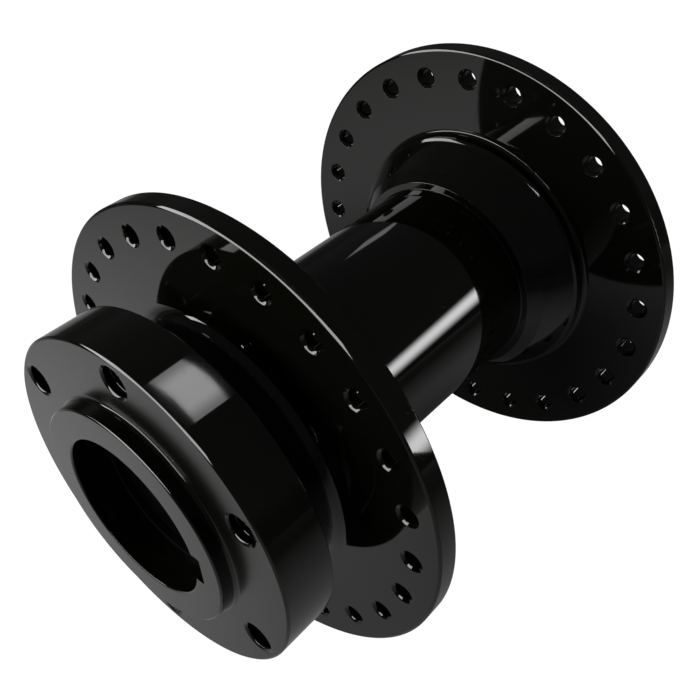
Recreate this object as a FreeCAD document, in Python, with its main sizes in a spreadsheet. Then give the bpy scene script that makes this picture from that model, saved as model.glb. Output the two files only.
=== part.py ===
import FreeCAD, Part
import math
import os
import Sketcher

# Tricycle rear hub, in millimetres. The hub turns about Y, the rotor side is at -Y, and the
# origin is on the axis, midway between the two spoke flanges.

doc = FreeCAD.newDocument("TricycleRearHub")

# Driving dimensions

sizes = {
    # Spoke flanges
    "flange_spacing": 57.3,
    "flange_radius": 35.6,
    "flange_thickness": 3.3,
    "flange_edge": 0.5,
    "spoke_rim_distance": 4.4,
    "spoke_hole_radius": 1.35,
    "spoke_hole_sink": 0.45,
    "spoke_hole_count": 24,
    "far_spoke_offset": 7.5,
    # Rotor seat
    "rotor_face_offset": 46.0,
    "rotor_seat_thickness": 8.0,
    "rotor_seat_edge": 0.4,
    "rotor_bolt_circle_radius": 22.0,
    "rotor_bolt_rim_distance": 3.4,
    "rotor_bolt_radius": 2.1,
    "rotor_bolt_sink": 0.5,
    "rotor_bolt_count": 6,
    "rotor_bolt_angle": 31.5,
    "spigot_radius": 16.6,
    "spigot_height": 2.45,
    "spigot_edge": 0.3,
    "spigot_fillet": 0.5,
    "neck_radius": 19.4,
    "neck_fillet": 2.2,
    # Barrel and the tapered collars inside the flanges
    "barrel_radius": 15.9,
    "barrel_bore_radius": 10.6,
    "collar_radius": 21.9,
    "collar_land": 1.9,
    "collar_taper_length": 5.1,
    "collar_taper_radius": 18.7,
    "collar_nose_length": 1.9,
    "collar_nose_radius": 17.1,
    "collar_fillet": 0.8,
    # Boss outside the far flange
    "boss_radius": 18.5,
    "boss_length": 9.2,
    "boss_edge": 0.6,
    "boss_fillet": 1.5,
    # Bearing seats
    "seat_chamfer": 0.3,
    "rotor_side_recess": 5.4,
    "far_side_recess": 1.6,
    "clip_groove_depth": 0.6,
    "notch_width": 4.8,
    "notch_depth": 1.4,
    "notch_angle": 3.5,
    # Retaining clips
    "clip_thickness": 1.0,
    "clip_band": 1.5,
    "clip_gap_angle": 44.0,
    "clip_lug_radius": 1.25,
    "clip_hole_radius": 0.55,
    "clip_hole_margin": 0.15,
    # Sealed ball bearings
    "bearing_bore_radius": 6.0,
    "bearing_radius": 12.0,
    "bearing_width": 6.0,
    "bearing_corner": 0.3,
    "ball_radius": 1.5875,
    "ball_count": 11,
    "ring_gap": 2.0,
    "cage_thickness": 1.4,
    "cage_floor": 0.45,
    "cage_reach": 0.8,
    "seal_thickness": 0.55,
    "seal_inset": 0.1,
    "seal_step": 0.45,
    # Sleeve between the inner rings
    "sleeve_wall": 1.8,
    "sleeve_edge": 0.25,
    # Clearances
    "press_clearance": 0.01,
    "clip_clearance": 0.05,
    "race_clearance": 0.06,
    "pocket_clearance": 0.12,
    "seal_clearance": 0.12,
}

sheet = doc.addObject("Spreadsheet::Sheet", "Dims")
for row, (alias, number) in enumerate(sizes.items(), start=1):
    sheet.set("A%d" % row, alias)
    sheet.set("B%d" % row, str(number))
    sheet.setAlias("B%d" % row, alias)
doc.recompute()

# Radii and places along the axis, worked out from the sheet

spokeCircle = "(Dims.flange_radius - Dims.spoke_rim_distance)"
rotorSeatRadius = "(Dims.rotor_bolt_circle_radius + Dims.rotor_bolt_rim_distance)"
flangeInner = "(Dims.flange_spacing - Dims.flange_thickness) / 2"
flangeOuter = "(Dims.flange_spacing + Dims.flange_thickness) / 2"
spigotEnd = "(Dims.rotor_face_offset + Dims.spigot_height)"
seatBack = "(Dims.rotor_face_offset - Dims.rotor_seat_thickness)"
bossEnd = "(%s + Dims.boss_length)" % flangeOuter
collarLandEnd = "(%s - Dims.collar_land)" % flangeInner
collarTaperEnd = "(%s - Dims.collar_taper_length)" % collarLandEnd
collarNoseEnd = "(%s - Dims.collar_nose_length)" % collarTaperEnd
clipSpace = "(Dims.clip_thickness + 2 * Dims.clip_clearance)"
seatRadius = "(Dims.bearing_radius + Dims.press_clearance)"
pitchRadius = "(Dims.bearing_bore_radius + Dims.bearing_radius) / 2"
innerRingOutside = "(%s - Dims.ring_gap / 2)" % pitchRadius
outerRingInside = "(%s + Dims.ring_gap / 2)" % pitchRadius
sealStep = "(%s + Dims.seal_step)" % outerRingInside
grooveRadius = "(Dims.ball_radius + Dims.race_clearance)"

# The two ends of the hub: which way they face, where the mouth of the bore is and how deep
# the retaining clip lies behind it.
ends = {
    "rotor_side": {"way": -1, "mouth": spigotEnd, "recess": "Dims.rotor_side_recess"},
    "far_side": {"way": 1, "mouth": bossEnd, "recess": "Dims.far_side_recess"},
}


def clipOuterFace(end):
    return "(%s - %s)" % (end["mouth"], end["recess"])


def bearingOuterFace(end):
    return "(%s - %s)" % (clipOuterFace(end), clipSpace)


def bearingInnerFace(end):
    return "(%s - Dims.bearing_width)" % bearingOuterFace(end)


def bearingMiddle(end):
    return "(%s - Dims.bearing_width / 2)" % bearingOuterFace(end)


# Helpers

def value(text):
    result = sheet.evalExpression(text)
    return float(getattr(result, "Value", result))


def mirrored(way, text):
    return "%d * (%s)" % (way, text)


def newBody(label):
    body = doc.addObject("PartDesign::Body", label)
    body.Label = label
    return body


def newSketch(body, name, turn=None):
    """A sketch on the XY plane, or on that plane turned about the hub's axis."""
    sketch = body.newObject("Sketcher::SketchObject", name)
    plane = [item for item in body.Origin.OriginFeatures if item.Role == "XY_Plane"][0]
    sketch.AttachmentSupport = [(plane, "")]
    sketch.MapMode = "FlatFace"
    if turn is not None:
        sketch.AttachmentOffset = FreeCAD.Placement(
            FreeCAD.Vector(), FreeCAD.Rotation(FreeCAD.Vector(0, 1, 0), 1))
        sketch.setExpression("AttachmentOffset.Rotation.Angle", "-(%s) * 1 deg" % turn)
    return sketch


def pinPoint(sketch, geometry, end, radius, along):
    """Ties one point of a sketch to a radius and a place along the axis."""
    for kind, text in (("DistanceX", radius), ("DistanceY", along)):
        index = sketch.addConstraint(
            Sketcher.Constraint(kind, -1, 1, geometry, end, value(text)))
        sketch.setExpression("Constraints[%d]" % index, text)


def drawOutline(sketch, points):
    """Closed outline through (radius, place along the axis) points."""
    corners = [FreeCAD.Vector(value(radius), value(along), 0) for radius, along in points]
    count = len(points)
    for index in range(count):
        sketch.addGeometry(Part.LineSegment(corners[index], corners[(index + 1) % count]), False)
    for index in range(count):
        sketch.addConstraint(
            Sketcher.Constraint("Coincident", index, 2, (index + 1) % count, 1))
    for index, (radius, along) in enumerate(points):
        pinPoint(sketch, index, 1, radius, along)


def spin(body, name, kind, sketch, axis):
    """Turns a sketch about one of its own lines, as added or removed material."""
    feature = body.newObject(kind, name)
    feature.Profile = sketch
    feature.ReferenceAxis = (sketch, [axis])
    feature.Angle = 360
    body.Tip = feature
    doc.recompute()
    return feature


def turned(body, name, points, kind="PartDesign::Revolution", turn=None):
    """Turns an outline about the hub's axis."""
    sketch = newSketch(body, name + "Outline", turn)
    drawOutline(sketch, points)
    return spin(body, name, kind, sketch, "V_Axis")


def turnedAside(body, name, points, axisRadius, low, high, turn, kind):
    """Turns an outline about a line that runs beside the hub's axis, from low to high."""
    sketch = newSketch(body, name + "Outline", turn)
    drawOutline(sketch, points)
    start = FreeCAD.Vector(value(axisRadius), value(low), 0)
    stop = FreeCAD.Vector(value(axisRadius), value(high), 0)
    line = sketch.addGeometry(Part.LineSegment(start, stop), True)
    pinPoint(sketch, line, 1, axisRadius, low)
    pinPoint(sketch, line, 2, axisRadius, high)
    return spin(body, name, kind, sketch, "Axis0")


def repeated(body, name, feature, count):
    """Repeats a feature evenly about the hub's axis."""
    pattern = body.newObject("PartDesign::PolarPattern", name)
    pattern.Originals = [feature]
    axis = [item for item in body.Origin.OriginFeatures if item.Role == "Y_Axis"][0]
    pattern.Axis = (axis, [""])
    pattern.Angle = 360
    pattern.setExpression("Occurrences", count)
    body.Tip = pattern
    doc.recompute()
    return pattern


def ringGroove(body, name, radius, along, sectionRadius):
    """Cuts a round-bottomed groove about the hub's axis."""
    sketch = newSketch(body, name + "Section")
    centre = FreeCAD.Vector(value(radius), value(along), 0)
    sketch.addGeometry(Part.Circle(centre, FreeCAD.Vector(0, 0, 1), value(sectionRadius)), False)
    pinPoint(sketch, 0, 3, radius, along)
    index = sketch.addConstraint(Sketcher.Constraint("Radius", 0, value(sectionRadius)))
    sketch.setExpression("Constraints[%d]" % index, sectionRadius)
    return spin(body, name, "PartDesign::Groove", sketch, "V_Axis")


def ringEdges(shape, places):
    """Names of the circular edges about the axis at each (radius, along) place."""
    tolerance = 1e-4
    found = []
    for radius, along in places:
        for index, edge in enumerate(shape.Edges, start=1):
            curve = edge.Curve
            if not isinstance(curve, Part.Circle):
                continue
            onAxis = abs(curve.Center.x) < tolerance and abs(curve.Center.z) < tolerance
            level = abs(curve.Center.y - value(along)) < tolerance
            if onAxis and level and abs(curve.Radius - value(radius)) < tolerance:
                found.append("Edge%d" % index)
                break
        else:
            raise ValueError("no edge at %s, %s" % (radius, along))
    return found


def edgeBreak(body, name, kind, places, size):
    """Fillet or chamfer on the named ring edges of the body's last feature."""
    base = body.Tip
    feature = body.newObject("PartDesign::" + kind, name)
    feature.Base = (base, ringEdges(base.Shape, places))
    feature.setExpression("Radius" if kind == "Fillet" else "Size", size)
    body.Tip = feature
    doc.recompute()
    return feature


def holeCircle(body, name, circleRadius, low, high, holeRadius, sink, count, turn):
    """A circle of round holes along the axis, each with a chamfer at both mouths."""
    wide = "%s + %s + %s" % (circleRadius, holeRadius, sink)
    narrow = "%s + %s" % (circleRadius, holeRadius)
    hole = turnedAside(body, name, [
        (circleRadius, low),
        (wide, low),
        (narrow, "%s + %s" % (low, sink)),
        (narrow, "%s - %s" % (high, sink)),
        (wide, high),
        (circleRadius, high),
    ], circleRadius, low, high, turn, "PartDesign::Groove")
    return repeated(body, name + "Pattern", hole, count)


# Hub shell

def collarPoints(way):
    """A flange's inner face and the tapered collar that runs from it down to the barrel."""
    return [
        ("Dims.flange_radius", mirrored(way, flangeInner)),
        ("Dims.collar_radius", mirrored(way, flangeInner)),
        ("Dims.collar_radius", mirrored(way, collarLandEnd)),
        ("Dims.collar_taper_radius", mirrored(way, collarTaperEnd)),
        ("Dims.collar_nose_radius", mirrored(way, collarNoseEnd)),
        ("Dims.barrel_radius", mirrored(way, collarNoseEnd)),
    ]


def seatPoints(end):
    """A bearing seat with its clip groove, from the mouth of the bore to the shoulder."""
    way = end["way"]
    outerWall = "%s + Dims.clip_groove_depth" % seatRadius
    clipFace = "(%s + Dims.clip_clearance)" % clipOuterFace(end)
    return [
        ("Dims.barrel_bore_radius", mirrored(way, end["mouth"])),
        (seatRadius, mirrored(way, end["mouth"])),
        (seatRadius, mirrored(way, clipFace)),
        (outerWall, mirrored(way, clipFace)),
        (outerWall, mirrored(way, bearingOuterFace(end))),
        (seatRadius, mirrored(way, bearingOuterFace(end))),
        (seatRadius, mirrored(way, bearingInnerFace(end))),
        ("Dims.barrel_bore_radius", mirrored(way, bearingInnerFace(end))),
    ]


def cutNotch(body, name, end):
    """The notch in the mouth of the bore, through which the clip is reached."""
    sketch = newSketch(body, name + "Section", "Dims.notch_angle")
    way = end["way"]
    floor = "%s + Dims.notch_depth" % seatRadius
    drawOutline(sketch, [
        ("Dims.barrel_bore_radius", mirrored(way, end["mouth"])),
        (floor, mirrored(way, end["mouth"])),
        (floor, mirrored(way, clipOuterFace(end))),
        ("Dims.barrel_bore_radius", mirrored(way, clipOuterFace(end))),
    ])
    cut = body.newObject("PartDesign::Pocket", name)
    cut.Profile = sketch
    cut.Type = "Length"
    cut.Midplane = True
    cut.setExpression("Length", "Dims.notch_width")
    body.Tip = cut
    doc.recompute()
    return cut


def makeHubShell():
    body = newBody("hub_shell")
    rotorFace = mirrored(-1, "Dims.rotor_face_offset")
    turned(body, "ShellBlank", [
        ("Dims.barrel_bore_radius", mirrored(-1, spigotEnd)),
        ("Dims.spigot_radius", mirrored(-1, spigotEnd)),
        ("Dims.spigot_radius", rotorFace),
        (rotorSeatRadius, rotorFace),
        (rotorSeatRadius, mirrored(-1, seatBack)),
        ("Dims.neck_radius", mirrored(-1, seatBack)),
        ("Dims.neck_radius", mirrored(-1, flangeOuter)),
        ("Dims.flange_radius", mirrored(-1, flangeOuter)),
    ] + collarPoints(-1) + collarPoints(1)[::-1] + [
        ("Dims.flange_radius", mirrored(1, flangeOuter)),
        ("Dims.boss_radius", mirrored(1, flangeOuter)),
        ("Dims.boss_radius", mirrored(1, bossEnd)),
        ("Dims.barrel_bore_radius", mirrored(1, bossEnd)),
    ])
    edgeBreak(body, "NeckFillet", "Fillet",
              [("Dims.neck_radius", mirrored(-1, flangeOuter))], "Dims.neck_fillet")
    edgeBreak(body, "SpigotFillet", "Fillet",
              [("Dims.spigot_radius", rotorFace)], "Dims.spigot_fillet")
    edgeBreak(body, "BossFillet", "Fillet",
              [("Dims.boss_radius", mirrored(1, flangeOuter))], "Dims.boss_fillet")
    edgeBreak(body, "CollarFillets", "Fillet",
              [("Dims.collar_radius", mirrored(way, flangeInner)) for way in (-1, 1)],
              "Dims.collar_fillet")
    edgeBreak(body, "FlangeEdges", "Chamfer",
              [("Dims.flange_radius", mirrored(way, face))
               for way in (-1, 1) for face in (flangeInner, flangeOuter)],
              "Dims.flange_edge")
    edgeBreak(body, "RotorSeatEdges", "Chamfer",
              [(rotorSeatRadius, rotorFace),
               (rotorSeatRadius, mirrored(-1, seatBack))],
              "Dims.rotor_seat_edge")
    edgeBreak(body, "SpigotEdge", "Chamfer",
              [("Dims.spigot_radius", mirrored(-1, spigotEnd))], "Dims.spigot_edge")
    edgeBreak(body, "BossEdge", "Chamfer",
              [("Dims.boss_radius", mirrored(1, bossEnd))], "Dims.boss_edge")
    for name, end in (("RotorSideSeat", ends["rotor_side"]), ("FarSideSeat", ends["far_side"])):
        turned(body, name, seatPoints(end), "PartDesign::Groove")
    edgeBreak(body, "SeatMouths", "Chamfer",
              [(seatRadius, mirrored(end["way"], end["mouth"])) for end in ends.values()],
              "Dims.seat_chamfer")
    cutNotch(body, "RotorSideNotch", ends["rotor_side"])
    cutNotch(body, "FarSideNotch", ends["far_side"])
    holeCircle(body, "RotorBoltHoles", "Dims.rotor_bolt_circle_radius",
               rotorFace, mirrored(-1, seatBack), "Dims.rotor_bolt_radius",
               "Dims.rotor_bolt_sink", "Dims.rotor_bolt_count", "Dims.rotor_bolt_angle")
    nearFaces = (mirrored(-1, flangeOuter), mirrored(-1, flangeInner))
    farFaces = (mirrored(1, flangeInner), mirrored(1, flangeOuter))
    for name, (low, high), turn in (("NearSpokeHoles", nearFaces, "0"),
                                    ("FarSpokeHoles", farFaces, "Dims.far_spoke_offset")):
        holeCircle(body, name, spokeCircle, low, high,
                   "Dims.spoke_hole_radius", "Dims.spoke_hole_sink",
                   "Dims.spoke_hole_count", turn)
    return body


# Bearings

def seatAlong(end, offset):
    """A place along the axis, measured from the middle of a bearing towards its mouth."""
    return mirrored(end["way"], "%s + (%s)" % (bearingMiddle(end), offset))


def makeOuterRing(side, end):
    body = newBody("bearing_outer_ring_" + side)
    outerWall = "Dims.bearing_radius"
    face = "Dims.bearing_width / 2"
    step = "Dims.bearing_width / 2 - Dims.seal_inset - Dims.seal_thickness"
    turned(body, "OuterRingBlank_" + side, [
        (sealStep, seatAlong(end, face)),
        (outerWall, seatAlong(end, face)),
        (outerWall, seatAlong(end, "-" + face)),
        (sealStep, seatAlong(end, "-" + face)),
        (sealStep, seatAlong(end, "-(%s)" % step)),
        (outerRingInside, seatAlong(end, "-(%s)" % step)),
        (outerRingInside, seatAlong(end, step)),
        (sealStep, seatAlong(end, step)),
    ])
    edgeBreak(body, "OuterRingCorners_" + side, "Chamfer",
              [(outerWall, seatAlong(end, face)), (outerWall, seatAlong(end, "-" + face))],
              "Dims.bearing_corner")
    ringGroove(body, "OuterRace_" + side, pitchRadius, seatAlong(end, "0"), grooveRadius)
    return body


def makeInnerRing(side, end):
    body = newBody("bearing_inner_ring_" + side)
    face = "Dims.bearing_width / 2"
    turned(body, "InnerRingBlank_" + side, [
        ("Dims.bearing_bore_radius", seatAlong(end, face)),
        (innerRingOutside, seatAlong(end, face)),
        (innerRingOutside, seatAlong(end, "-" + face)),
        ("Dims.bearing_bore_radius", seatAlong(end, "-" + face)),
    ])
    edgeBreak(body, "InnerRingCorners_" + side, "Chamfer",
              [("Dims.bearing_bore_radius", seatAlong(end, face)),
               ("Dims.bearing_bore_radius", seatAlong(end, "-" + face))],
              "Dims.bearing_corner")
    ringGroove(body, "InnerRace_" + side, pitchRadius, seatAlong(end, "0"), grooveRadius)
    return body


def makeBalls(side, end):
    """One ring of separate balls, evenly spaced on the pitch circle."""
    count = int(value("Dims.ball_count"))
    balls = []
    for index in range(count):
        ball = doc.addObject("Part::Sphere", "Ball_%s_%d" % (side, index + 1))
        turn = "360 deg * %d / Dims.ball_count" % index
        ball.setExpression("Radius", "Dims.ball_radius")
        ball.setExpression("Placement.Base.x", "%s * cos(%s)" % (pitchRadius, turn))
        ball.setExpression("Placement.Base.y", seatAlong(end, "0"))
        ball.setExpression("Placement.Base.z", "%s * sin(%s)" % (pitchRadius, turn))
        balls.append(ball)
    group = doc.addObject("Part::Compound", "bearing_balls_" + side)
    group.Label = "bearing_balls_" + side
    group.Links = balls
    doc.recompute()
    return group


def makeCage(side, end):
    """A snap-in crown cage: a thin floor with a finger standing between each pair of balls."""
    body = newBody("bearing_cage_" + side)
    innerWall = "(%s - Dims.cage_thickness / 2)" % pitchRadius
    outerWall = "(%s + Dims.cage_thickness / 2)" % pitchRadius
    pocketRadius = "(Dims.ball_radius + Dims.pocket_clearance)"
    floor = "-(%s + Dims.cage_floor)" % pocketRadius
    turned(body, "CageBlank_" + side, [
        (innerWall, seatAlong(end, "Dims.cage_reach")),
        (outerWall, seatAlong(end, "Dims.cage_reach")),
        (outerWall, seatAlong(end, floor)),
        (innerWall, seatAlong(end, floor)),
    ])
    sketch = newSketch(body, "PocketSection_" + side)
    centre = FreeCAD.Vector(value(pitchRadius), value(seatAlong(end, "0")), 0)
    radius = value(pocketRadius)
    circle = Part.Circle(centre, FreeCAD.Vector(0, 0, 1), radius)
    sketch.addGeometry(Part.ArcOfCircle(circle, -math.pi / 2, math.pi / 2), False)
    lower = centre - FreeCAD.Vector(0, radius, 0)
    upper = centre + FreeCAD.Vector(0, radius, 0)
    sketch.addGeometry(Part.LineSegment(upper, lower), False)
    sketch.addConstraint(Sketcher.Constraint("Coincident", 0, 2, 1, 1))
    sketch.addConstraint(Sketcher.Constraint("Coincident", 0, 1, 1, 2))
    sketch.addConstraint(Sketcher.Constraint("Vertical", 1))
    sketch.addConstraint(Sketcher.Constraint("PointOnObject", 0, 3, 1))
    pinPoint(sketch, 0, 3, pitchRadius, seatAlong(end, "0"))
    index = sketch.addConstraint(Sketcher.Constraint("Radius", 0, radius))
    sketch.setExpression("Constraints[%d]" % index, pocketRadius)
    axisLine = sketch.addGeometry(Part.LineSegment(lower, upper), True)
    pinPoint(sketch, axisLine, 1, pitchRadius, "%s - %s" % (seatAlong(end, "0"), pocketRadius))
    pinPoint(sketch, axisLine, 2, pitchRadius, "%s + %s" % (seatAlong(end, "0"), pocketRadius))
    pocket = spin(body, "Pocket_" + side, "PartDesign::Groove", sketch, "Axis0")
    repeated(body, "Pockets_" + side, pocket, "Dims.ball_count")
    return body


def makeSeal(name, end, sense):
    """A thin ring that is held in the outer ring and stops just short of the inner ring."""
    body = newBody(name)
    innerWall = "(%s + Dims.seal_clearance)" % innerRingOutside
    outerWall = "(%s - Dims.press_clearance)" % sealStep
    outside = "(Dims.bearing_width / 2 - Dims.seal_inset)"
    inside = "(%s - Dims.seal_thickness)" % outside
    turned(body, "Ring_" + name, [
        (innerWall, seatAlong(end, "%d * %s" % (sense, outside))),
        (outerWall, seatAlong(end, "%d * %s" % (sense, outside))),
        (outerWall, seatAlong(end, "%d * %s" % (sense, inside))),
        (innerWall, seatAlong(end, "%d * %s" % (sense, inside))),
    ])
    return body


# Retaining clips

def makeClip(side, end):
    """An open ring that springs out into its groove, with a drilled lug at each end."""
    outerWall = "(%s + Dims.clip_groove_depth - Dims.clip_clearance)" % seatRadius
    band = "(%s - Dims.clip_band)" % outerWall
    lugCentre = "(%s - Dims.clip_hole_radius - Dims.clip_hole_margin)" % band
    faces = [mirrored(end["way"], clipOuterFace(end)),
             mirrored(end["way"], "%s - Dims.clip_thickness" % clipOuterFace(end))]
    low, high = sorted(faces, key=value)
    gapStart = "(Dims.notch_angle - Dims.clip_gap_angle / 2)"
    gapStop = "(Dims.notch_angle + Dims.clip_gap_angle / 2)"
    body = newBody("retaining_clip_" + side)
    ring = turned(body, "ClipRing_" + side, [
        (band, low),
        (outerWall, low),
        (outerWall, high),
        (band, high),
    ], turn=gapStart)
    ring.setExpression("Angle", "360 - Dims.clip_gap_angle")
    doc.recompute()
    for name, turn in (("ClipLugA_", gapStart), ("ClipLugB_", gapStop)):
        turnedAside(body, name + side, [
            ("%s + Dims.clip_hole_radius" % lugCentre, low),
            ("%s + Dims.clip_lug_radius" % lugCentre, low),
            ("%s + Dims.clip_lug_radius" % lugCentre, high),
            ("%s + Dims.clip_hole_radius" % lugCentre, high),
        ], lugCentre, low, high, turn, "PartDesign::Revolution")
    return body


# Sleeve between the inner rings

def makeSleeve():
    body = newBody("spacer_sleeve")
    outerWall = "(Dims.bearing_bore_radius + Dims.sleeve_wall)"
    rotorEnd = mirrored(-1, bearingInnerFace(ends["rotor_side"]))
    farEnd = mirrored(1, bearingInnerFace(ends["far_side"]))
    turned(body, "SleeveBlank", [
        ("Dims.bearing_bore_radius", rotorEnd),
        (outerWall, rotorEnd),
        (outerWall, farEnd),
        ("Dims.bearing_bore_radius", farEnd),
    ])
    edgeBreak(body, "SleeveEdges", "Chamfer",
              [(outerWall, rotorEnd), (outerWall, farEnd)], "Dims.sleeve_edge")
    return body


parts = [makeHubShell()]
for side, end in ends.items():
    parts.append(makeOuterRing(side, end))
    parts.append(makeInnerRing(side, end))
    parts.append(makeBalls(side, end))
    parts.append(makeCage(side, end))
    parts.append(makeSeal("bearing_outer_seal_" + side, end, 1))
    parts.append(makeSeal("bearing_inner_seal_" + side, end, -1))
    parts.append(makeClip(side, end))
parts.append(makeSleeve())
doc.recompute()

# Everything is sound before anything is written

for item in doc.Objects:
    if "Invalid" in item.State or "Error" in item.State:
        raise RuntimeError("%s failed: %s" % (item.Name, item.State))
for part in parts:
    if part.Shape.isNull() or not part.Shape.isValid():
        raise RuntimeError("%s has no sound shape" % part.Label)

os.makedirs("parts", exist_ok=True)
for part in parts:
    part.Shape.exportStep("parts/%s.step" % part.Label)
    print("%-34s solids %2d  volume %10.2f" % (
        part.Label, len(part.Shape.Solids), part.Shape.Volume))
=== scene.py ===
import math
import bmesh
import bpy
from mathutils import Matrix, Vector


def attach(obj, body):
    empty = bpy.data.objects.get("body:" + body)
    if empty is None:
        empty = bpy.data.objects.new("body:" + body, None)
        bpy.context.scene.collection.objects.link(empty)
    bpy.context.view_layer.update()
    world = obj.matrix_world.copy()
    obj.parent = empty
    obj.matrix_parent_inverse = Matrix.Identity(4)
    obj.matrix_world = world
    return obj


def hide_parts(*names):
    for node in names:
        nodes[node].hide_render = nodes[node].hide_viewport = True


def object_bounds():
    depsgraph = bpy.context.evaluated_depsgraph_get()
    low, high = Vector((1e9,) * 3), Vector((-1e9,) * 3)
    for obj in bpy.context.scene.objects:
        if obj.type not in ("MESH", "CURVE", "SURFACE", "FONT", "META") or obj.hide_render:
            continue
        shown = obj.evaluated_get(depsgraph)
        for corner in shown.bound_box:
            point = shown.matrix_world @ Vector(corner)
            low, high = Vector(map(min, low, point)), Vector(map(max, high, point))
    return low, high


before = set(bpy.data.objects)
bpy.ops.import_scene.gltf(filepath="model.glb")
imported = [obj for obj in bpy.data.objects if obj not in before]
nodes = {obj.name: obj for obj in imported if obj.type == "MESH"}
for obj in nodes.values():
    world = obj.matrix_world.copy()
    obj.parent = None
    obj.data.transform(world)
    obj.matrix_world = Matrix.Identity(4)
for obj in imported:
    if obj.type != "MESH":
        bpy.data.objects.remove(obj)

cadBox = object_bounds()
scene = bpy.context.scene
mm = 0.001               # the sizes below are in millimetres
sameSpot = 0.0005        # points nearer to each other than this count as one
print("frame loaded:", len(nodes), "nodes")


# Node trees

def addNode(tree, kind, **settings):
    node = tree.nodes.new(kind)
    for name, setting in settings.items():
        setattr(node, name, setting)
    return node


def mathNode(tree, operation, first, second=None):
    node = addNode(tree, "ShaderNodeMath", operation=operation)
    for index, source in enumerate((first, second)):
        if source is None:
            continue
        if isinstance(source, (int, float)):
            node.inputs[index].default_value = source
        else:
            tree.links.new(source, node.inputs[index])
    return node.outputs[0]


def mathChain(tree, operation, total, *others):
    # a sum or a product of many values
    for other in others:
        total = mathNode(tree, operation, total, other)
    return total


def ramp(tree, source, low, high, fromLow, fromHigh):
    # a smooth step from one value to another
    node = addNode(tree, "ShaderNodeMapRange", interpolation_type="SMOOTHSTEP")
    tree.links.new(source, node.inputs["Value"])
    node.inputs["From Min"].default_value = fromLow
    node.inputs["From Max"].default_value = fromHigh
    node.inputs["To Min"].default_value = low
    node.inputs["To Max"].default_value = high
    return node.outputs["Result"]


def newGroup(name, inputs, outputs):
    group = bpy.data.node_groups.new(name, "ShaderNodeTree")
    for socket, kind, default in inputs:
        item = group.interface.new_socket(name=socket, in_out="INPUT", socket_type=kind)
        if default is not None:
            item.default_value = default
    for socket in outputs:
        group.interface.new_socket(name=socket, in_out="OUTPUT", socket_type="NodeSocketFloat")
    return group, addNode(group, "NodeGroupInput"), addNode(group, "NodeGroupOutput")


# What the finishes share
effects = {
    "ringsPerMm": 8.0, "ringDetail": 1.0,
    "smearSize": 9.0, "smearDetail": 3.0, "smearRange": (0.42, 0.72),
    "speckSize": 1.6, "speckRange": (0.03, 0.06),
    # the faced end: its place along the axis, and how squarely it faces along it
    "facedFrom": -45.6, "facedRange": (-0.97, -0.85),
    "grainDetail": 2.0,
}


# Fine rings left by the lathe, round the hub's axis: on a face they follow the radius, on a
# barrel they follow the length.
def makeTurningRings():
    group, inlet, outlet = newGroup("turningRings", [
        ("Vector", "NodeSocketVector", None),
        ("Rings per mm", "NodeSocketFloat", effects["ringsPerMm"]),
    ], ["Height"])
    split = addNode(group, "ShaderNodeSeparateXYZ")
    group.links.new(inlet.outputs["Vector"], split.inputs[0])
    across = mathNode(group, "POWER", split.outputs["X"], 2.0)
    upward = mathNode(group, "POWER", split.outputs["Z"], 2.0)
    radius = mathNode(group, "SQRT", mathNode(group, "ADD", across, upward))
    place = addNode(group, "ShaderNodeCombineXYZ")
    group.links.new(radius, place.inputs["X"])
    group.links.new(split.outputs["Y"], place.inputs["Y"])
    rings = addNode(group, "ShaderNodeTexNoise", noise_dimensions="2D")
    rings.inputs["Detail"].default_value = effects["ringDetail"]
    group.links.new(place.outputs[0], rings.inputs["Vector"])
    scale = mathNode(group, "MULTIPLY", inlet.outputs["Rings per mm"], 1.0 / mm)
    group.links.new(scale, rings.inputs["Scale"])
    group.links.new(rings.outputs["Fac"], outlet.inputs["Height"])
    return group


# Faint cloudy smears and sparse specks of dust, as handled parts have.
def makeHandling():
    group, inlet, outlet = newGroup("handling", [
        ("Vector", "NodeSocketVector", None),
        ("Smear size mm", "NodeSocketFloat", effects["smearSize"]),
        ("Speck size mm", "NodeSocketFloat", effects["speckSize"]),
    ], ["Smears", "Specks"])
    smears = addNode(group, "ShaderNodeTexNoise")
    smears.inputs["Detail"].default_value = effects["smearDetail"]
    group.links.new(inlet.outputs["Vector"], smears.inputs["Vector"])
    smearScale = mathNode(group, "DIVIDE", 1.0 / mm, inlet.outputs["Smear size mm"])
    group.links.new(smearScale, smears.inputs["Scale"])
    cloudy = ramp(group, smears.outputs["Fac"], 0.0, 1.0, *effects["smearRange"])
    group.links.new(cloudy, outlet.inputs["Smears"])
    specks = addNode(group, "ShaderNodeTexVoronoi")
    group.links.new(inlet.outputs["Vector"], specks.inputs["Vector"])
    speckScale = mathNode(group, "DIVIDE", 1.0 / mm, inlet.outputs["Speck size mm"])
    group.links.new(speckScale, specks.inputs["Scale"])
    sparse = ramp(group, specks.outputs["Distance"], 1.0, 0.0, *effects["speckRange"])
    group.links.new(sparse, outlet.inputs["Specks"])
    return group


# The faced end that the rotor rests on is finer turned than the rest, so it shines less sharply.
def makeFacedEnd():
    group, inlet, outlet = newGroup("facedEnd", [
        ("Vector", "NodeSocketVector", None),
        ("Normal", "NodeSocketVector", None),
        ("Face at mm", "NodeSocketFloat", effects["facedFrom"]),
    ], ["Mask"])
    place = addNode(group, "ShaderNodeSeparateXYZ")
    group.links.new(inlet.outputs["Vector"], place.inputs[0])
    facing = addNode(group, "ShaderNodeSeparateXYZ")
    group.links.new(inlet.outputs["Normal"], facing.inputs[0])
    level = mathNode(group, "MULTIPLY", inlet.outputs["Face at mm"], mm)
    beyond = mathNode(group, "LESS_THAN", place.outputs["Y"], level)
    flat = ramp(group, facing.outputs["Y"], 1.0, 0.0, *effects["facedRange"])
    group.links.new(mathNode(group, "MULTIPLY", beyond, flat), outlet.inputs["Mask"])
    return group


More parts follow.
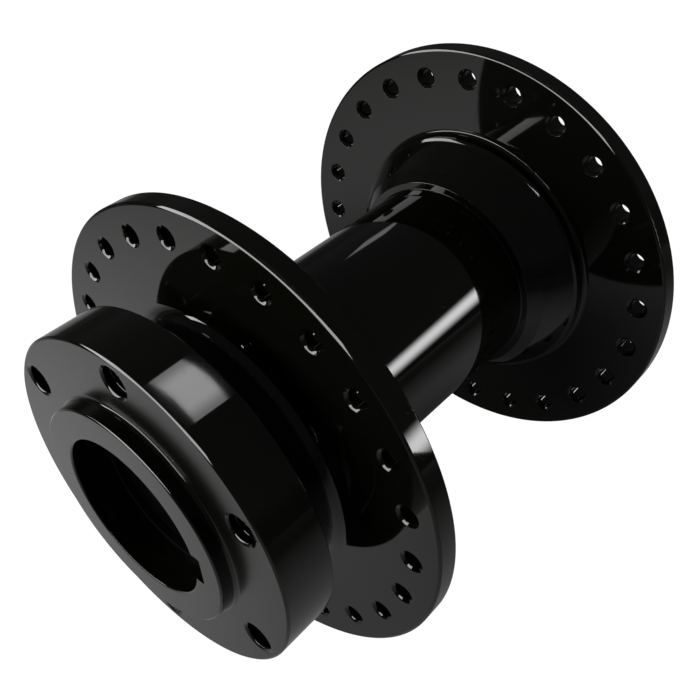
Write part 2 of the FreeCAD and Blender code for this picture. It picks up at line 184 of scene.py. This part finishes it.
turningRings = makeTurningRings()
handling = makeHandling()
facedEnd = makeFacedEnd()


# A finish: one Principled shader, with its own values and the shared groups placed in it.
def newFinish(name, look):
    material = bpy.data.materials.new(name)
    material.use_nodes = True
    tree = material.node_tree
    shader = tree.nodes["Principled BSDF"]
    shader.inputs["Base Color"].default_value = (*look["colour"], 1.0)
    shader.inputs["Metallic"].default_value = look.get("metallic", 0.0)
    shader.inputs["IOR"].default_value = look.get("ior", 1.5)
    shader.inputs["Specular IOR Level"].default_value = look.get("specular", 0.5)
    coordinates = addNode(tree, "ShaderNodeTexCoord")
    place = coordinates.outputs["Object"]
    marks = addNode(tree, "ShaderNodeGroup", node_tree=handling)
    tree.links.new(place, marks.inputs["Vector"])
    marks.inputs["Smear size mm"].default_value = look["smearSize"]
    rings = addNode(tree, "ShaderNodeGroup", node_tree=turningRings)
    tree.links.new(place, rings.inputs["Vector"])
    rings.inputs["Rings per mm"].default_value = look["ringsPerMm"]
    smears = mathNode(tree, "MULTIPLY", marks.outputs["Smears"], look["smearRoughness"])
    grooves = mathNode(tree, "MULTIPLY", rings.outputs["Height"], look["ringRoughness"])
    dust = mathNode(tree, "MULTIPLY", marks.outputs["Specks"], look["dustRoughness"])
    rough = mathChain(tree, "ADD", smears, grooves, dust, look["roughness"])
    if "facedRoughness" in look:
        faced = addNode(tree, "ShaderNodeGroup", node_tree=facedEnd)
        tree.links.new(place, faced.inputs["Vector"])
        tree.links.new(coordinates.outputs["Normal"], faced.inputs["Normal"])
        satin = mathNode(tree, "MULTIPLY", faced.outputs["Mask"], look["facedRoughness"])
        rough = mathNode(tree, "ADD", rough, satin)
    tree.links.new(rough, shader.inputs["Roughness"])
    grain = addNode(tree, "ShaderNodeTexNoise")
    grain.inputs["Detail"].default_value = effects["grainDetail"]
    grain.inputs["Scale"].default_value = 1.0 / (look["grainSize"] * mm)
    tree.links.new(place, grain.inputs["Vector"])
    grainHeight = mathNode(tree, "MULTIPLY", grain.outputs["Fac"], look["grainDepth"])
    ringHeight = mathNode(tree, "MULTIPLY", rings.outputs["Height"], look["ringDepth"])
    bump = addNode(tree, "ShaderNodeBump")
    bump.inputs["Distance"].default_value = mm
    tree.links.new(mathNode(tree, "ADD", grainHeight, ringHeight), bump.inputs["Height"])
    tree.links.new(bump.outputs["Normal"], shader.inputs["Normal"])
    return material


# Sizes and depths are in millimetres.
blackCoat = newFinish("blackCoat", {
    "colour": (0.0042, 0.0043, 0.003), "roughness": 0.035, "facedRoughness": 0.2,
    "smearSize": 9.0, "smearRoughness": 0.012, "dustRoughness": 0.25,
    "ringsPerMm": 6.0, "ringRoughness": 0.006, "ringDepth": 0.0001,
    "grainSize": 1.1, "grainDepth": 0.0004,
})
blackOxide = newFinish("blackOxide", {
    "colour": (0.004, 0.004, 0.0042), "roughness": 0.4, "specular": 0.06,
    "smearSize": 4.0, "smearRoughness": 0.1, "dustRoughness": 0.2,
    "ringsPerMm": 9.0, "ringRoughness": 0.12, "ringDepth": 0.0015,
    "grainSize": 0.25, "grainDepth": 0.0008,
})
ballSteel = newFinish("ballSteel", {
    "colour": (0.72, 0.72, 0.73), "metallic": 1.0, "roughness": 0.05,
    "smearSize": 2.0, "smearRoughness": 0.08, "dustRoughness": 0.1,
    "ringsPerMm": 4.0, "ringRoughness": 0.0, "ringDepth": 0.0,
    "grainSize": 0.3, "grainDepth": 0.0001,
})
cageNylon = newFinish("cageNylon", {
    "colour": (0.5, 0.44, 0.33), "roughness": 0.42,
    "smearSize": 3.0, "smearRoughness": 0.15, "dustRoughness": 0.1,
    "ringsPerMm": 3.0, "ringRoughness": 0.04, "ringDepth": 0.0004,
    "grainSize": 0.2, "grainDepth": 0.003,
})
sealRubber = newFinish("sealRubber", {
    "colour": (0.002, 0.002, 0.002), "roughness": 0.55, "ior": 1.45, "specular": 0.05,
    "smearSize": 3.0, "smearRoughness": 0.15, "dustRoughness": 0.2,
    "ringsPerMm": 2.5, "ringRoughness": 0.08, "ringDepth": 0.002,
    "grainSize": 0.12, "grainDepth": 0.004,
})
clipSteel = newFinish("clipSteel", {
    "colour": (0.005, 0.005, 0.0055), "roughness": 0.45, "specular": 0.08,
    "smearSize": 2.0, "smearRoughness": 0.12, "dustRoughness": 0.2,
    "ringsPerMm": 5.0, "ringRoughness": 0.05, "ringDepth": 0.0006,
    "grainSize": 0.1, "grainDepth": 0.003,
})
sleeveAlloy = newFinish("sleeveAlloy", {
    "colour": (0.66, 0.66, 0.68), "metallic": 1.0, "roughness": 0.24,
    "smearSize": 8.0, "smearRoughness": 0.1, "dustRoughness": 0.15,
    "ringsPerMm": 7.0, "ringRoughness": 0.12, "ringDepth": 0.002,
    "grainSize": 0.2, "grainDepth": 0.0005,
})
print("finishes made")


# Meshes and turned shapes

def addObject(name, data):
    item = bpy.data.objects.new(name, data)
    scene.collection.objects.link(item)
    return item


def meshFrom(bm, name):
    mesh = bpy.data.meshes.new(name)
    bm.to_mesh(mesh)
    bm.free()
    return mesh


def roundCorner(bm, corner, radius, segments):
    # rounds one corner of an outline with an arc of that radius
    ends = [edge.other_vert(corner).co - corner.co for edge in corner.link_edges]
    turn = math.pi - ends[0].angle(ends[1])
    bmesh.ops.bevel(bm, geom=[corner], affect="VERTICES", segments=segments, profile=0.5,
                    offset=radius * mm * math.tan(turn / 2), material=-1)


def turnedMesh(name, corners, steps, closed=True, arcSteps=4):
    # turns an outline of (radius, along, rounding) corners about the Y axis
    bm = bmesh.new()
    points = [bm.verts.new((radius * mm, along * mm, 0)) for radius, along, rounding in corners]
    for first, second in zip(points, points[1:]):
        bm.edges.new((first, second))
    if closed:
        bm.edges.new((points[-1], points[0]))
    for point, (radius, along, rounding) in zip(points, corners):
        if rounding:
            roundCorner(bm, point, rounding, arcSteps)
    bmesh.ops.spin(bm, geom=bm.verts[:] + bm.edges[:], axis=(0, 1, 0), cent=(0, 0, 0),
                   angle=2 * math.pi, steps=steps, use_merge=True)
    bmesh.ops.remove_doubles(bm, verts=bm.verts[:], dist=sameSpot * mm)
    bmesh.ops.recalc_face_normals(bm, faces=bm.faces[:])
    return meshFrom(bm, name)


def around(angle, radius):
    # a place beside the axis: turned from +X towards +Z
    turn = Matrix.Rotation(-math.radians(angle), 4, "Y")
    return turn @ Matrix.Translation((radius * mm, 0, 0))


# The hub shell, one turned and drilled form. Places along the axis count from the middle
# between the flanges, towards either side.
shell = {
    "flangeFaces": (27.0, 30.3), "flangeRadius": 35.6,
    "rotorFace": 46.0, "rotorSeatRadius": 25.4, "rotorSeatBack": 38.0,
    "spigotRadius": 16.6, "spigotEnd": 48.45, "spigotFillet": 0.65,
    "neckRadius": 19.4, "neckCorner": 0.3, "neckFillet": 2.2,
    "bossRadius": 18.5, "bossEnd": 39.5, "bossEdge": 0.6, "bossFillet": 1.5,
    # broken edges: how much comes off the face and off the rim
    "nearEdge": (0.38, 0.24), "farEdge": (0.36, 0.145), "backEdge": (0.3, 0.3),
    "rotorSeatEdge": (0.32, 0.25), "rotorSeatBackEdge": (0.25, 0.25),
    "spigotEdge": (0.24, 0.18), "edgeRounding": 0.12,
    # the collar inside each flange: a shoulder with a cut edge, a cone, and a nose on the barrel
    "collarRadius": 21.9, "collarFillet": 0.8, "shoulderAt": 25.1, "shoulderCut": (0.48, 0.22),
    "coneEnd": (18.7, 20.0), "coneRounding": 0.15,
    "noseRadius": 17.1, "noseAt": 18.1, "noseRounding": 0.2, "barrelRadius": 15.9,
    # the bearing seats: clip groove from and to, and the shoulder
    "seatRadius": 12.01, "clipGroove": 0.6, "mouthEdge": 0.3, "boreRadius": 10.6,
    "rotorSideSeat": (43.1, 41.95, 35.95), "farSideSeat": (37.95, 36.8, 30.8),
    # the spoke holes, with the countersinks that face the rotor side and the far side
    "spokeCircle": 31.2, "spokeRadius": 1.3, "spokeCount": 24, "spokeSinks": (0.45, 0.25),
    "sinkSlope": 0.7, "sinkFoot": 0.15, "sinkLip": 0.12, "sinkFlare": 0.5, "cutterOver": 0.1,
    # the tapped bolt holes, with the thread groove's corners as shares of the pitch
    "boltCircle": 22.0, "boltRadius": 2.1, "boltCount": 6, "boltAngle": 31.5, "boltSink": 0.35,
    "threadStart": 0.2, "threadDepth": 0.38, "threadPitch": 0.8,
    "threadGroove": (0.35, 0.5, 0.85),
    # the notch in each mouth, on the rotor side and on the far side
    "notchAngle": 3.5, "notchWidth": 4.8, "notchFloor": 13.41, "notchDepths": (43.05, 37.9),
    "notchCorner": 0.35, "notchOver": 1.0,
    # how finely each is turned, and the angle in degrees past which an edge is sharp
    "steps": 240, "spokeSteps": 28, "boltSteps": 36, "holeArcSteps": 3, "sharpAngle": 32,
}


def seatCorners(way, end, places):
    # the bearing seat and its clip groove, from the mouth to the shoulder
    grooveOuter, grooveInner, shoulder = places
    seat = shell["seatRadius"]
    groove = seat + shell["clipGroove"]
    return [
        (seat, way * end, shell["mouthEdge"]),
        (seat, way * grooveOuter, 0),
        (groove, way * grooveOuter, 0),
        (groove, way * grooveInner, 0),
        (seat, way * grooveInner, 0),
        (seat, way * shoulder, 0),
        (shell["boreRadius"], way * shoulder, 0),
    ]


def brokenCorner(radius, along, edge, way):
    # a corner between a face and a rim, cut off with both new corners softened: the outline
    # comes from the face where way is 1, and from the rim where it is -1
    offFace, offRim = edge
    soft = shell["edgeRounding"]
    return [(radius - offFace, along, soft), (radius, along + way * offRim, soft)][::way]


def collarCorners():
    # from the flange's inner face over the shoulder and down the cone to the barrel
    radius, shoulder, nose = shell["collarRadius"], shell["shoulderAt"], shell["noseAt"]
    offRim, offFace = shell["shoulderCut"]
    soft = shell["edgeRounding"]
    return [
        (radius, shell["flangeFaces"][0], shell["collarFillet"]),
        (radius, shoulder, soft),
        (radius - offRim, shoulder - offFace, soft),
        (*shell["coneEnd"], shell["coneRounding"]),
        (shell["noseRadius"], nose, shell["noseRounding"]),
        (shell["barrelRadius"], nose, shell["noseRounding"]),
    ]


def shellCorners():
    # the whole outline: out along the outside, and back through the bore
    inner, outer = shell["flangeFaces"]
    rim, seat = shell["flangeRadius"], shell["rotorSeatRadius"]
    collar = collarCorners()
    outline = [
        *brokenCorner(shell["spigotRadius"], -shell["spigotEnd"], shell["spigotEdge"], 1),
        (shell["spigotRadius"], -shell["rotorFace"], shell["spigotFillet"]),
        *brokenCorner(seat, -shell["rotorFace"], shell["rotorSeatEdge"], 1),
        *brokenCorner(seat, -shell["rotorSeatBack"], shell["rotorSeatBackEdge"], -1),
        (shell["neckRadius"], -shell["rotorSeatBack"], shell["neckCorner"]),
        (shell["neckRadius"], -outer, shell["neckFillet"]),
        *brokenCorner(rim, -outer, shell["nearEdge"], 1),
        *brokenCorner(rim, -inner, shell["backEdge"], -1),
    ]
    outline += [(radius, -along, rounding) for radius, along, rounding in collar]
    outline += reversed(collar)
    outline += [
        *brokenCorner(rim, inner, shell["farEdge"], 1),
        *brokenCorner(rim, outer, shell["backEdge"], -1),
        (shell["bossRadius"], outer, shell["bossFillet"]),
        (shell["bossRadius"], shell["bossEnd"], shell["bossEdge"]),
    ]
    outline += seatCorners(1, shell["bossEnd"], shell["farSideSeat"])
    outline += reversed(seatCorners(-1, shell["spigotEnd"], shell["rotorSideSeat"]))
    return outline


def mouthCorners(radius, sink, face, way):
    # a countersunk mouth whose lip is slightly rounded, running out just above the face
    over = shell["cutterOver"]
    flare = radius + sink + shell["sinkFlare"]
    return [
        (radius, face - way * sink * shell["sinkSlope"], shell["sinkFoot"]),
        (radius + sink, face, shell["sinkLip"]),
        (flare, face + way * over, 0),
        (flare, face + way * 3 * over, 0),
        (0, face + way * 3 * over, 0),
    ]


def spokeCutter(low, high):
    radius = shell["spokeRadius"]
    lowSink, highSink = shell["spokeSinks"]
    outline = mouthCorners(radius, lowSink, low, -1)[::-1]
    outline += mouthCorners(radius, highSink, high, 1)
    return turnedMesh("spokeCutter", outline, shell["spokeSteps"], closed=False,
                      arcSteps=shell["holeArcSteps"])


def boltCutter(low, high):
    # a tapped hole: one shallow groove for each turn of the thread
    radius, sink, pitch = shell["boltRadius"], shell["boltSink"], shell["threadPitch"]
    deepFrom, deepTo, out = shell["threadGroove"]
    bottom = radius + shell["threadDepth"]
    outline = mouthCorners(radius, sink, low, -1)[::-1]
    along = low + sink + shell["threadStart"]
    while along + pitch < high - sink:
        outline += [
            (radius, along, 0),
            (bottom, along + deepFrom * pitch, 0),
            (bottom, along + deepTo * pitch, 0),
            (radius, along + out * pitch, 0),
        ]
        along += pitch
    outline += mouthCorners(radius, sink, high, 1)
    return turnedMesh("boltCutter", outline, shell["boltSteps"], closed=False,
                      arcSteps=shell["holeArcSteps"])


def notchCutter(way, end, depth):
    # a block across the mouth, with its two inner corners rounded
    inner, outer = shell["boreRadius"], shell["notchFloor"]
    over = shell["notchOver"]
    bm = bmesh.new()
    bmesh.ops.create_cube(bm, size=1)
    bmesh.ops.scale(bm, verts=bm.verts[:], vec=(
        (outer - inner) * mm, (end + over - depth) * mm, shell["notchWidth"] * mm))
    bmesh.ops.translate(bm, verts=bm.verts[:], vec=(
        (inner + outer) / 2 * mm, way * (end + over + depth) / 2 * mm, 0))
    deep = [edge for edge in bm.edges
            if all(abs(vert.co.x - outer * mm) < sameSpot * mm for vert in edge.verts)
            and abs(edge.verts[0].co.z - edge.verts[1].co.z) < sameSpot * mm]
    bmesh.ops.bevel(bm, geom=deep, affect="EDGES", segments=3, profile=0.5,
                    offset=shell["notchCorner"] * mm, material=-1)
    bmesh.ops.transform(bm, verts=bm.verts[:], matrix=around(shell["notchAngle"], 0))
    return meshFrom(bm, "notchCutter")


def joinedCutters():
    # every hole of the shell in one mesh
    inner, outer = shell["flangeFaces"]
    cutters = bmesh.new()

    def place(mesh, matrix):
        start = len(cutters.verts)
        cutters.from_mesh(mesh)
        cutters.verts.ensure_lookup_table()
        bmesh.ops.transform(cutters, verts=cutters.verts[start:], matrix=matrix)

    def placeRound(mesh, count, firstAngle, circle):
        for index in range(count):
            place(mesh, around(firstAngle + index * 360 / count, circle))

    # the far flange's holes stand half a space on from the near flange's
    count, circle = shell["spokeCount"], shell["spokeCircle"]
    placeRound(spokeCutter(-outer, -inner), count, 0, circle)
    placeRound(spokeCutter(inner, outer), count, 180 / count, circle)
    placeRound(boltCutter(-shell["rotorFace"], -shell["rotorSeatBack"]),
               shell["boltCount"], shell["boltAngle"], shell["boltCircle"])
    for way, end, depth in zip((-1, 1), (shell["spigotEnd"], shell["bossEnd"]),
                               shell["notchDepths"]):
        place(notchCutter(way, end, depth), Matrix.Identity(4))
    return meshFrom(cutters, "shellCutters")


def bakedModifiers(piece):
    # the piece with its modifiers made part of its mesh
    view = bpy.context.evaluated_depsgraph_get()
    mesh = bpy.data.meshes.new_from_object(piece.evaluated_get(view))
    piece.modifiers.clear()
    piece.data = mesh
    return mesh


def makeHubShell():
    piece = addObject("hubShell", turnedMesh("hubShell", shellCorners(), shell["steps"]))
    cutter = addObject("shellCutters", joinedCutters())
    piece.data.materials.append(blackCoat)
    cut = piece.modifiers.new("holes", "BOOLEAN")
    cut.operation = "DIFFERENCE"
    cut.solver = "MANIFOLD"
    cut.object = cutter
    mesh = bakedModifiers(piece)
    bpy.data.objects.remove(cutter)
    mesh.shade_smooth()
    mesh.set_sharp_from_angle(angle=math.radians(shell["sharpAngle"]))
    even = piece.modifiers.new("evenShading", "WEIGHTED_NORMAL")
    even.keep_sharp = True
    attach(piece, "hub")
    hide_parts("hub_shell")
    print("hub shell:", len(mesh.polygons), "faces")


makeHubShell()

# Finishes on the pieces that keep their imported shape
keptFinishes = {
    "bearing_outer_ring": blackOxide,
    "bearing_inner_ring": blackOxide,
    "bearing_balls": ballSteel,
    "bearing_cage": cageNylon,
    "bearing_outer_seal": sealRubber,
    "bearing_inner_seal": sealRubber,
    "retaining_clip": clipSteel,
    "spacer_sleeve": sleeveAlloy,
}
for start, finish in keptFinishes.items():
    for name, node in nodes.items():
        if name.startswith(start):
            node.data.materials.clear()
            node.data.materials.append(finish)
print("packed pieces finished")


# Camera
camera = {
    "lens": 45.72, "clipStart": 5.0,
    "azimuth": 40.68, "elevation": 42.4,
    # the middle of the rotor's face as the camera sees it: right, up, ahead
    "rotorFace": (-26.39, -20.28, 115.24),
}


def makeCamera():
    azimuth, elevation = math.radians(camera["azimuth"]), math.radians(camera["elevation"])
    ahead = Vector((-math.sin(azimuth) * math.cos(elevation),
                    math.cos(azimuth) * math.cos(elevation), -math.sin(elevation)))
    right = Vector((math.cos(azimuth), math.sin(azimuth), 0))
    up = right.cross(ahead)
    target = Vector((0, -shell["rotorFace"], 0))
    aside, lift, depth = camera["rotorFace"]
    place = (target - right * aside - up * lift - ahead * depth) * mm
    data = bpy.data.cameras.new("camera")
    data.lens = camera["lens"]
    data.clip_start = camera["clipStart"] * mm
    turn = Matrix((right, up, -ahead)).transposed().to_4x4()
    item = addObject("camera", data)
    item.matrix_world = Matrix.Translation(place) @ turn
    scene.camera = item
    print("camera set")


makeCamera()


# A pale floor. The camera sees it white with the hub's shadow. Polished surfaces see a painted
# pool of light on it: a glow painted brighter round one spot, with a painted shadow under the
# hub.
# Lengths are in metres, and a fade is a brightness from and to, over a distance from and to.
floor = {
    "size": 4.0, "colour": 0.8, "shadowShare": 0.1, "paperWhite": 1.13,
    # the painted pool of light that glossy and transmission rays see on the floor: its centre,
    # stretch, share and brightness
    "paintedPoolCentre": (-0.058, -0.072), "paintedPoolStretch": (1.0, 0.714, 1.0),
    "paintedPoolShare": 0.9, "paintedPoolWhite": 0.72,
    # how the painted pool of light fades near its centre and far from it
    "paintedPoolNearFade": (1.0, 0.385, 0.0, 0.1), "paintedPoolFarFade": (1.0, 0.08, 0.085, 0.26),
    # the painted shadow under the hub: its centre, and how it darkens the painted pool near it
    "paintedShadowCentre": (-0.006, 0.013), "paintedShadowFade": (0.137, 1.0, 0.017, 0.071),
}


def makeFloorPaper(lowest):
    material = bpy.data.materials.new("floorPaper")
    material.use_nodes = True
    tree = material.node_tree
    tree.nodes.clear()
    rays = addNode(tree, "ShaderNodeLightPath").outputs
    place = addNode(tree, "ShaderNodeTexCoord").outputs["Object"]

    def awayFrom(centre, stretch=(1.0, 1.0, 1.0)):
        stretched = addNode(tree, "ShaderNodeVectorMath", operation="MULTIPLY")
        tree.links.new(place, stretched.inputs[0])
        stretched.inputs[1].default_value = stretch
        away = addNode(tree, "ShaderNodeVectorMath", operation="DISTANCE")
        tree.links.new(stretched.outputs["Vector"], away.inputs[0])
        away.inputs[1].default_value = Vector((*centre, lowest)) * Vector(stretch)
        return away.outputs["Value"]

    # painted pool of light: a glow whose brightness is set by the distance from one spot, not by
    # a lamp
    away = awayFrom(floor["paintedPoolCentre"], floor["paintedPoolStretch"])
    # painted shadow: the painted pool is darkened near the spot under the hub
    paintedShadowAway = awayFrom(floor["paintedShadowCentre"])
    paintedPool = mathChain(tree, "MULTIPLY", ramp(tree, away, *floor["paintedPoolNearFade"]),
                     ramp(tree, away, *floor["paintedPoolFarFade"]),
                     ramp(tree, paintedShadowAway, *floor["paintedShadowFade"]), floor["paintedPoolWhite"])
    plain = mathNode(tree, "MULTIPLY", rays["Is Camera Ray"], floor["paperWhite"])
    mirrored = mathNode(tree, "MAXIMUM", rays["Is Glossy Ray"], rays["Is Transmission Ray"])
    share = mathNode(tree, "MAXIMUM", mathNode(tree, "MULTIPLY", mirrored, floor["paintedPoolShare"]),
                     mathNode(tree, "MULTIPLY", rays["Is Camera Ray"],
                              1.0 - floor["shadowShare"]))
    paper = addNode(tree, "ShaderNodeBsdfDiffuse")
    paper.inputs["Color"].default_value = (*[floor["colour"]] * 3, 1.0)
    white = addNode(tree, "ShaderNodeEmission")
    # the floor's glow: white to the camera, and the painted pool of light and shadow to glossy
    # and transmission rays
    tree.links.new(mathNode(tree, "MAXIMUM", plain, paintedPool), white.inputs["Strength"])
    mix = addNode(tree, "ShaderNodeMixShader")
    tree.links.new(share, mix.inputs[0])
    tree.links.new(paper.outputs[0], mix.inputs[1])
    tree.links.new(white.outputs[0], mix.inputs[2])
    tree.links.new(mix.outputs[0], addNode(tree, "ShaderNodeOutputMaterial").inputs["Surface"])
    return material


def makeFloor():
    lowest = min(corner[2] for corner in cadBox)
    bm = bmesh.new()
    bmesh.ops.create_grid(bm, size=floor["size"] / 2)
    bmesh.ops.translate(bm, verts=bm.verts[:], vec=(0, 0, lowest))
    item = addObject("floor", meshFrom(bm, "floor"))
    item.data.materials.append(makeFloorPaper(lowest))
    print("floor laid")


makeFloor()


# A dim room, a little lighter overhead. The camera sees it white. It grows lighter between two
# heights, where 0 is level and 1 is straight up.
room = {"low": 0.03, "high": 0.055, "rise": (0.02, 0.25)}


def makeRoom():
    world = bpy.data.worlds.new("room")
    world.use_nodes = True
    scene.world = world
    tree = world.node_tree
    tree.nodes.clear()
    direction = addNode(tree, "ShaderNodeTexCoord").outputs["Generated"]
    split = addNode(tree, "ShaderNodeSeparateXYZ")
    tree.links.new(direction, split.inputs[0])
    dim = addNode(tree, "ShaderNodeBackground")
    white = addNode(tree, "ShaderNodeBackground")
    for shade in (dim, white):
        shade.inputs["Color"].default_value = (1, 1, 1, 1)
    level = ramp(tree, split.outputs["Z"], room["low"], room["high"], *room["rise"])
    tree.links.new(level, dim.inputs["Strength"])
    mix = addNode(tree, "ShaderNodeMixShader")
    seen = addNode(tree, "ShaderNodeLightPath").outputs["Is Camera Ray"]
    tree.links.new(seen, mix.inputs[0])
    tree.links.new(dim.outputs[0], mix.inputs[1])
    tree.links.new(white.outputs[0], mix.inputs[2])
    tree.links.new(mix.outputs[0], addNode(tree, "ShaderNodeOutputWorld").inputs["Surface"])
    print("room lit")


makeRoom()


# Lamps. Each points at its aim, in millimetres, from so many metres away. Its width, height and
# shifts aside and up are in degrees as the aim sees them, and a roll above 0 lowers its right
# end. A brightness of 1 is that of the white background. Fades are shares of height or width.
lamps = {
    "keyLamp": {
        "aim": (0, 0, 0), "azimuth": -115, "elevation": 13.5, "distance": 0.9,
        "width": 66, "height": 12, "brightness": 8.0,
    },
    "sideLamp": {
        "aim": (0, 22, 18), "azimuth": -174, "elevation": 47.5, "distance": 0.9,
        "width": 4.5, "height": 7, "brightness": 1.5,
    },
    "topLamp": {
        "aim": (9, -42, 24), "azimuth": 91, "elevation": 65.3, "distance": 0.6,
        "aside": -1.5, "lift": -0.6, "width": 33, "height": 4.6, "brightness": 6.3,
        # a strip along the head, in degrees, whose ends hang down and dim to a share
        "strip": 3.1, "bow": 0.8, "stripEdge": 0.1, "endFade": 0.6, "endShare": 0.45,
    },
    "backLamp": {
        "aim": (0, 0, 15), "azimuth": 134, "elevation": 27, "distance": 0.7,
        "width": 4, "height": 6.5, "brightness": 1.2, "footFade": 0.4, "headFade": 0.2,
    },
    "windowLamp": {
        "aim": (13, 0, 9), "azimuth": 40, "elevation": 7.2, "distance": 0.42, "roll": 14,
        "aside": 2.8, "lift": -0.9, "width": 20, "height": 15.5, "brightness": 11.4,
        "footFade": 0.52, "headFade": 0.42,
    },
}


def heightFade(tree, upward, lamp):
    # dark at the foot and at the head
    foot = ramp(tree, upward, 0, 1, 0, lamp["footFade"])
    head = ramp(tree, upward, 1, 0, 1 - lamp["headFade"], 1)
    return mathNode(tree, "MULTIPLY", foot, head)


def bowedStrip(tree, across, upward, lamp):
    # bright along a bow below the lamp's head, and dimmer towards its ends
    height, half, edge = lamp["height"], lamp["strip"] / 2, lamp["stripEdge"]
    off = mathNode(tree, "ABSOLUTE", mathNode(tree, "SUBTRACT", across, 0.5))
    ends = ramp(tree, off, 1, lamp["endShare"], 0.5 - lamp["endFade"] / 2, 0.5)
    bend = mathNode(tree, "POWER", mathNode(tree, "MULTIPLY", off, 2.0), 2.0)
    sag = mathNode(tree, "MULTIPLY", bend, lamp["bow"] / height)
    level = mathNode(tree, "SUBTRACT", mathNode(tree, "ADD", upward, sag), 1 - half / height)
    apart = mathNode(tree, "ABSOLUTE", level)
    strip = ramp(tree, apart, 1, 0, (half - edge) / height, (half + edge) / height)
    return mathNode(tree, "MULTIPLY", ends, strip)


def shapeLamp(data, lamp):
    # over the lamp's face X runs along its width and Y from its foot to its head
    data.use_nodes = True
    tree = data.node_tree
    place = addNode(tree, "ShaderNodeSeparateXYZ")
    geometry = addNode(tree, "ShaderNodeNewGeometry")
    tree.links.new(geometry.outputs["Parametric"], place.inputs[0])
    if "strip" in lamp:
        level = bowedStrip(tree, place.outputs["X"], place.outputs["Y"], lamp)
    else:
        level = heightFade(tree, place.outputs["Y"], lamp)
    tree.links.new(level, tree.nodes["Emission"].inputs["Strength"])


def makeLamp(name, lamp):
    distance = lamp["distance"]
    turn, rise = math.radians(lamp["azimuth"]), math.radians(lamp["elevation"])
    away = Vector((math.cos(turn) * math.cos(rise), math.sin(turn) * math.cos(rise),
                   math.sin(rise)))

    def span(degrees):
        return 2 * distance * math.tan(math.radians(degrees / 2))

    data = bpy.data.lights.new(name, "AREA")
    data.shape = "RECTANGLE"
    data.size = span(lamp["width"])
    data.size_y = span(lamp["height"])
    data.energy = lamp["brightness"] * math.pi * data.size * data.size_y
    if "strip" in lamp or "footFade" in lamp:
        shapeLamp(data, lamp)
    # seen from the hub the lamp's own X runs to the left
    stance = Matrix.Translation(Vector(lamp["aim"]) * mm + away * distance)
    stance @= (-away).to_track_quat("-Z", "Y").to_matrix().to_4x4()
    stance @= Matrix.Rotation(math.radians(lamp.get("roll", 0)), 4, "Z")
    shift = (-span(lamp.get("aside", 0)), span(lamp.get("lift", 0)), 0)
    addObject(name, data).matrix_world = stance @ Matrix.Translation(shift)


for name, lamp in lamps.items():
    makeLamp(name, lamp)
scene.view_settings.view_transform = "Standard"
print("lamps set:", len(lamps))
